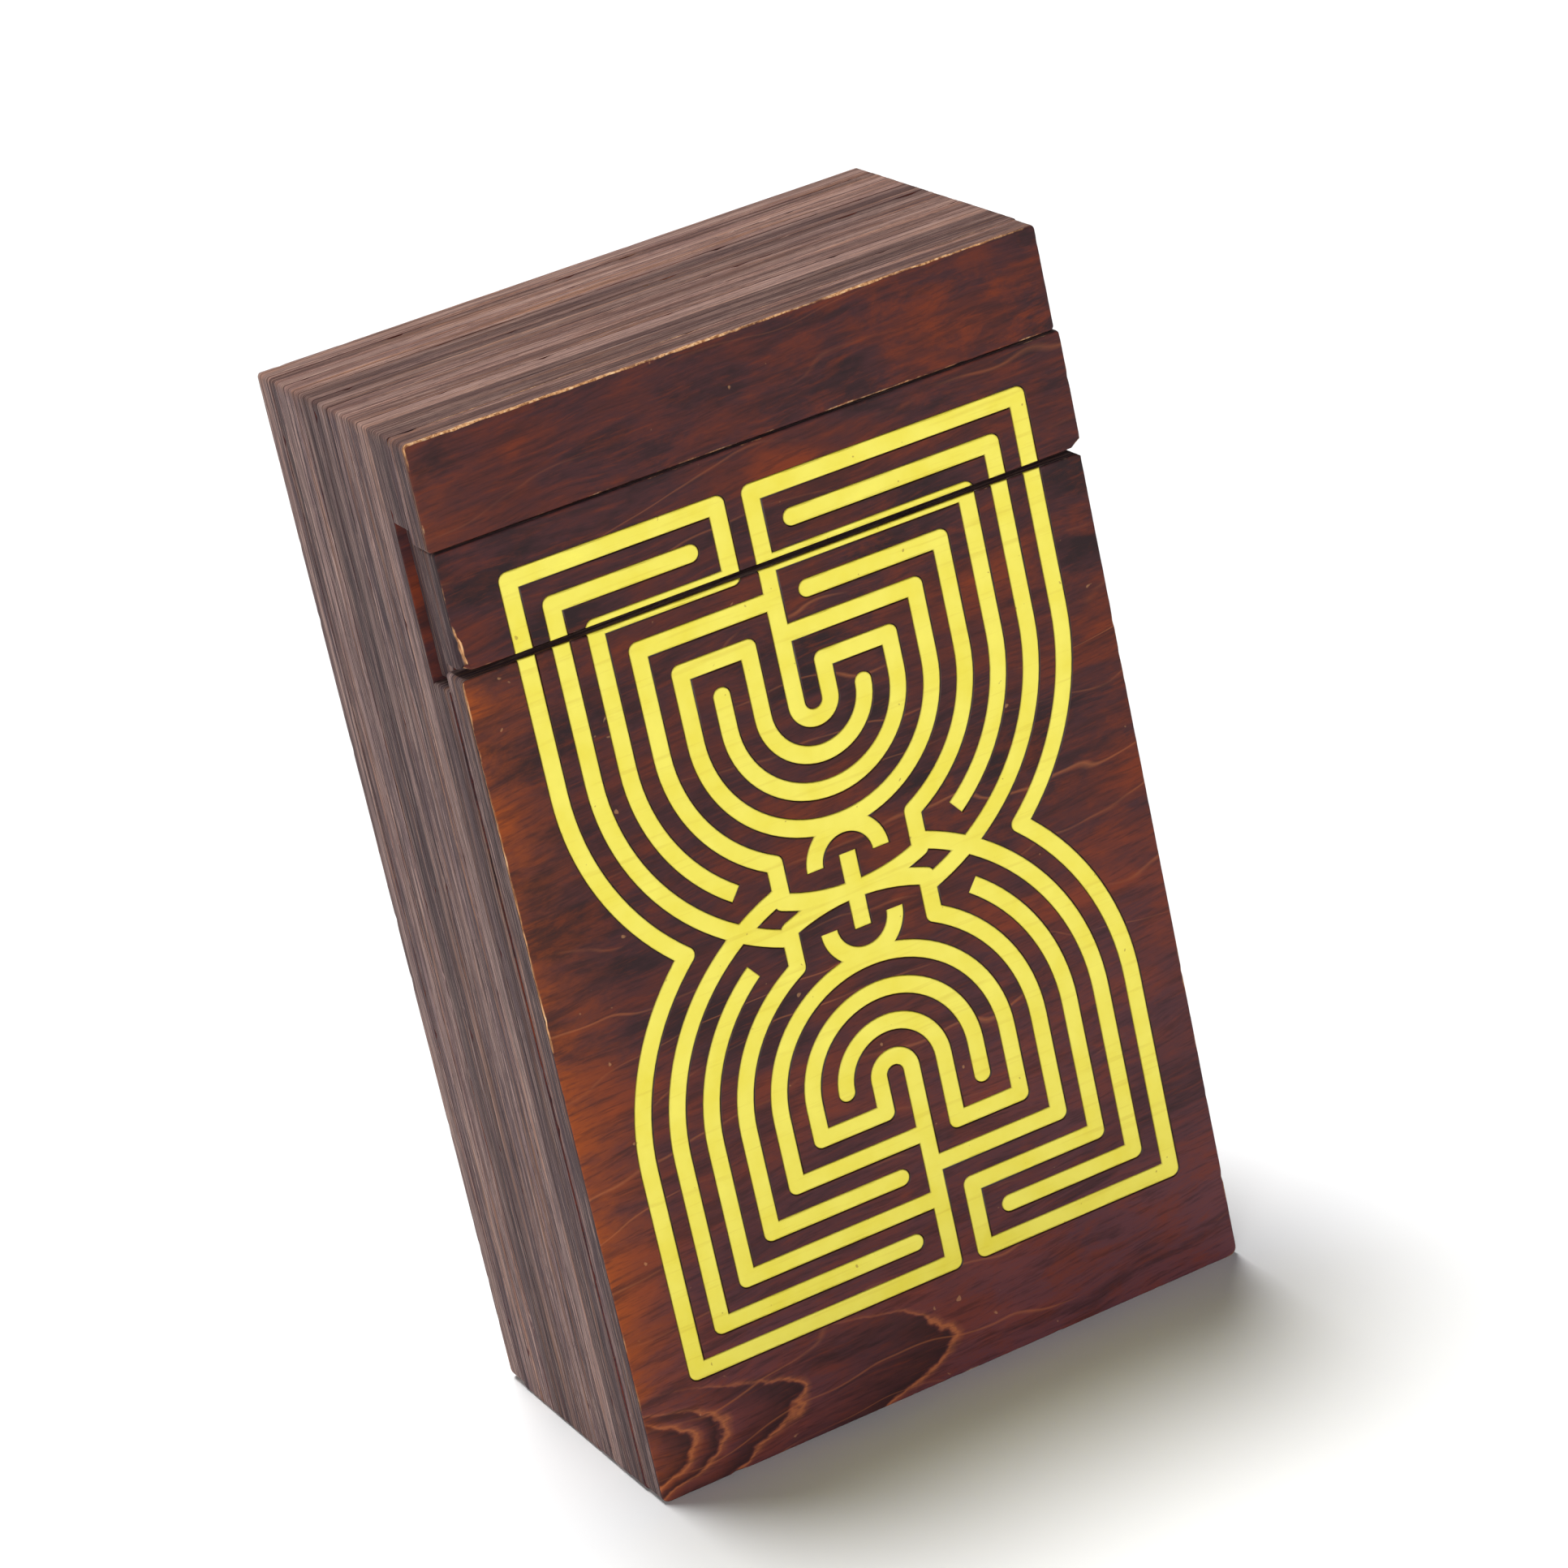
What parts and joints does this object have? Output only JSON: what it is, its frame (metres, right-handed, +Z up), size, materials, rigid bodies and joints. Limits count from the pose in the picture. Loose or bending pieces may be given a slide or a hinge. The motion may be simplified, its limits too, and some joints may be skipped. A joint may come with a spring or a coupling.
{
  "type": "wooden puzzle box",
  "caption": "Upright pocket puzzle box of dark stained plywood sheets, with a yellow labyrinth in front, a sliding lock strip, and a panel that slides down to open a hidden compartment.",
  "frame": {"origin": "centre of the foot, on the surface that the box stands on", "axes": "+Z up the height, +X to the right seen from the front, -Y out of the front with the labyrinth"},
  "size_m": [0.0603, 0.0331, 0.1],
  "materials": {
    "stained_veneer": "dark red-brown stained veneer, satin, horizontal grain",
    "stained_plywood": "sanded plywood, grey-brown stain, matte, plies visible on the edges",
    "hardwood_rod": "plain hardwood dowel, matte",
    "yellow_paint": "opaque lemon-yellow paint, satin"
  },
  "bodies": {
    "case": {"top_strip": "stained_veneer", "track_left_rail": "stained_plywood", "track_frame": "stained_plywood", "tongue_track": "stained_plywood", "compartment_mask": "stained_plywood", "body_frame_1": "stained_plywood", "body_frame_2": "stained_plywood", "body_frame_3": "stained_plywood", "body_frame_4": "stained_plywood", "body_frame_5": "stained_plywood", "back_plate": "stained_veneer", "stop_pin": "hardwood_rod", "dowel_bottom_left": "hardwood_rod", "dowel_bottom_right": "hardwood_rod", "dowel_top_left": "hardwood_rod", "dowel_top_right": "hardwood_rod"},
    "strip": {"strip_front": "stained_veneer", "strip_backing": "stained_plywood", "strip_pin": "hardwood_rod", "strip_paint": "yellow_paint"},
    "panel": {"panel_front": "stained_veneer", "panel_neck": "stained_plywood", "maze_tongue": "stained_plywood", "panel_paint": "yellow_paint"}
  },
  "joints": [
    {"name": "strip_slide", "type": "slide", "parent": "case", "child": "strip", "axis": [1, 0, 0], "range_m": [-0.008, 0]},
    {"name": "panel_slide", "type": "slide", "parent": "case", "child": "panel", "axis": [0, 0, 1], "range_m": [-0.07, 0]}
  ]
}
